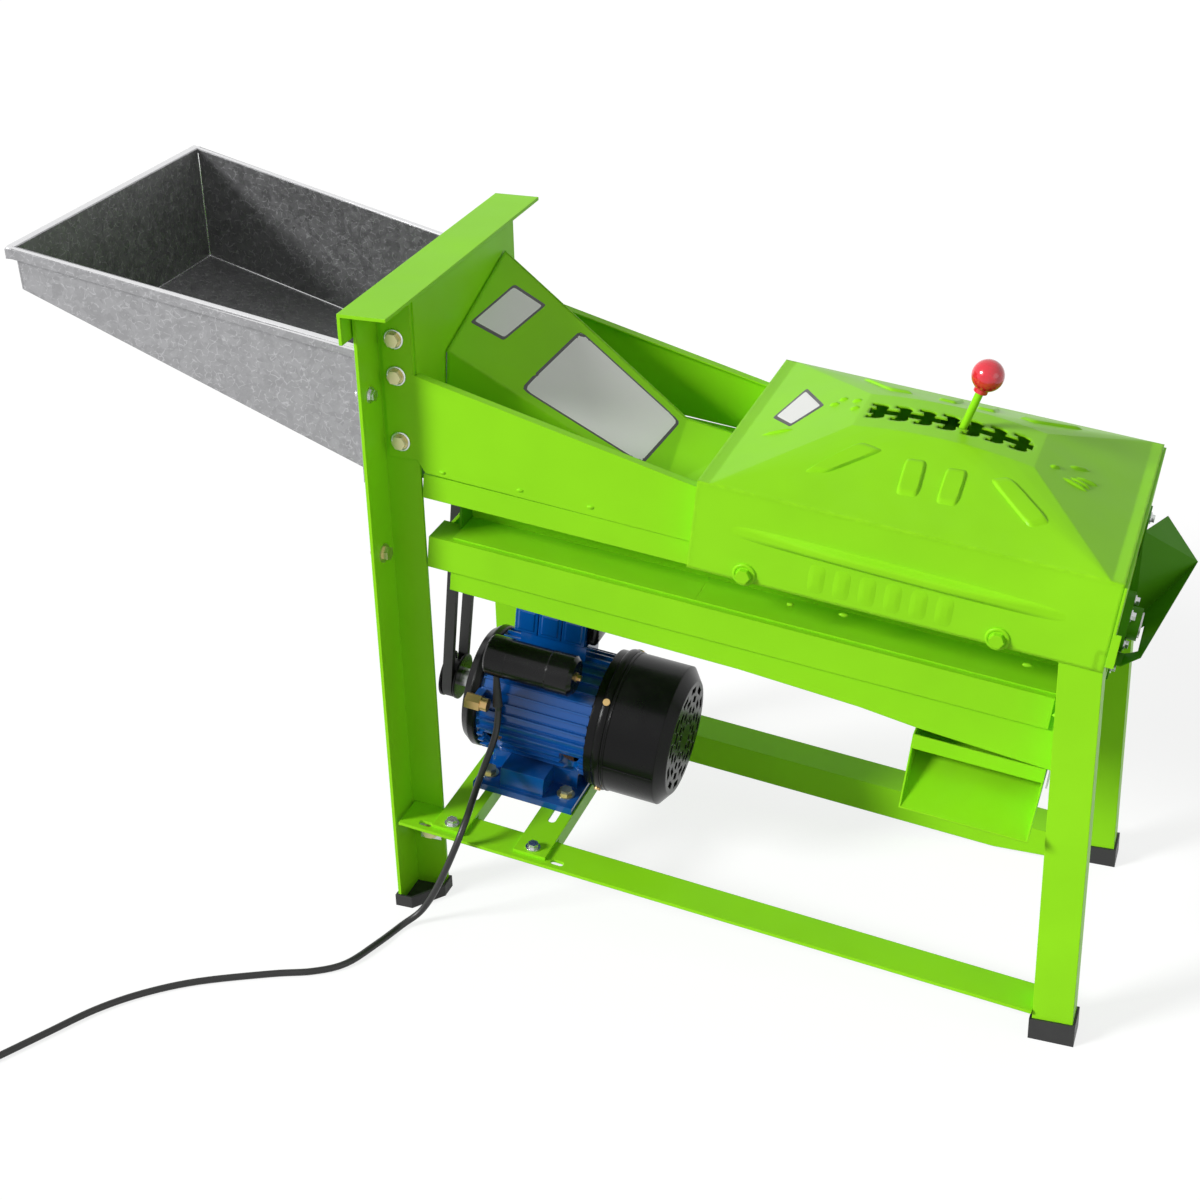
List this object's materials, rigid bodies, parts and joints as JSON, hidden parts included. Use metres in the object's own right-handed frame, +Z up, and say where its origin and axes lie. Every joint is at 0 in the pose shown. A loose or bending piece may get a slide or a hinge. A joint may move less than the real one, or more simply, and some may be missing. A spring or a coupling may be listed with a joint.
{
  "type": "electric corn sheller",
  "caption": "Electric corn sheller with sheet-metal hopper, hooded throat, toothed drum under a slotted cover, grain spout, cob chute and belt-drive motor.",
  "frame": {"origin": "on the floor at the middle of the machine's box, measured without the free cord", "axes": "+X along the machine from the hopper toward the cob chute, +Y away from the grain spout, +Z up"},
  "size_m": [1.3796, 0.9506, 0.8302],
  "materials": {
    "black_paint": "black enamel",
    "black_plastic": "moulded black",
    "black_rubber": "matt",
    "blue_paint": "blue enamel",
    "brass": "plain",
    "cast_iron": "painted casting",
    "copper": "lacquered winding pack",
    "dark_green_paint": "green powder coat inside",
    "galvanised": "zinc spangle sheet",
    "green_paint": "bright green powder coat",
    "red_plastic": "glossy ball",
    "steel": "turned",
    "yellow_zinc": "yellow passivated zinc",
    "zinc": "zinc plated"
  },
  "bodies": {
    "frame": {"leg_front_left": "green_paint", "leg_rear_left": "green_paint", "leg_front_right": "green_paint", "leg_rear_right": "green_paint", "leg_caps": "black_plastic", "leg_boots": "black_rubber", "header_angle": "green_paint", "base_frame": "green_paint", "upper_rails": "green_paint", "stretcher_front": "green_paint", "stretcher_rear": "green_paint", "mount_bars": "green_paint", "side_panel_front": "green_paint", "side_panel_rear": "green_paint", "inlet_frame": "green_paint", "trough": "dark_green_paint", "sieve": "green_paint", "end_plate_left": "dark_green_paint", "end_plate_right": "green_paint", "throat_hood": "green_paint", "top_cover": "green_paint", "cob_chute": "green_paint", "grain_tray": "green_paint", "grain_spout": "green_paint", "spout_strap": "zinc", "hopper": "galvanised", "lever_bracket": "dark_green_paint", "bearings": "cast_iron", "drive_belt": "black_rubber", "motor_frame": "blue_paint", "stator": "copper", "bell_left": "black_paint", "bell_right": "black_paint", "fan_cowl": "black_paint", "terminal_box": "blue_paint", "capacitor": "black_plastic", "cable_gland": "brass", "strain_relief": "black_rubber", "cord": "black_rubber", "cord_coil": "black_rubber", "plug": "black_rubber", "leg_bolts": "yellow_zinc", "tie_plates": "zinc", "bar_bolts": "zinc", "motor_bolts": "yellow_zinc", "cover_bolts": "green_paint", "small_bolts": "zinc", "brass_screws": "brass"},
    "drum": {"drum": "cast_iron", "drum_shaft": "steel", "drum_pulley": "black_paint"},
    "motor_rotor": {"rotor": "steel", "motor_shaft": "steel", "motor_pulley": "black_paint", "fan": "black_plastic"},
    "lever": {"lever_shaft": "zinc", "lever_rod": "green_paint", "lever_knob": "red_plastic", "lever_flap": "steel"}
  },
  "joints": [
    {"name": "drum_spin", "type": "hinge", "parent": "frame", "child": "drum", "pos_m": [0.16949, 0, 0.49653], "axis": [0.9936, 0, -0.1132], "continuous": true},
    {"name": "motor_spin", "type": "hinge", "parent": "frame", "child": "motor_rotor", "pos_m": [-0.11445, 0, 0.21285], "axis": [0.9936, 0, -0.1132], "continuous": true},
    {"name": "lever_swing", "type": "hinge", "parent": "frame", "child": "lever", "pos_m": [0.37325, 0, 0.58], "axis": [0, 1, 0], "range_deg": [-57, 34]}
  ],
  "couplings": [
    {"joint": "motor_spin", "follows": "drum_spin", "ratio": 1.2}
  ]
}
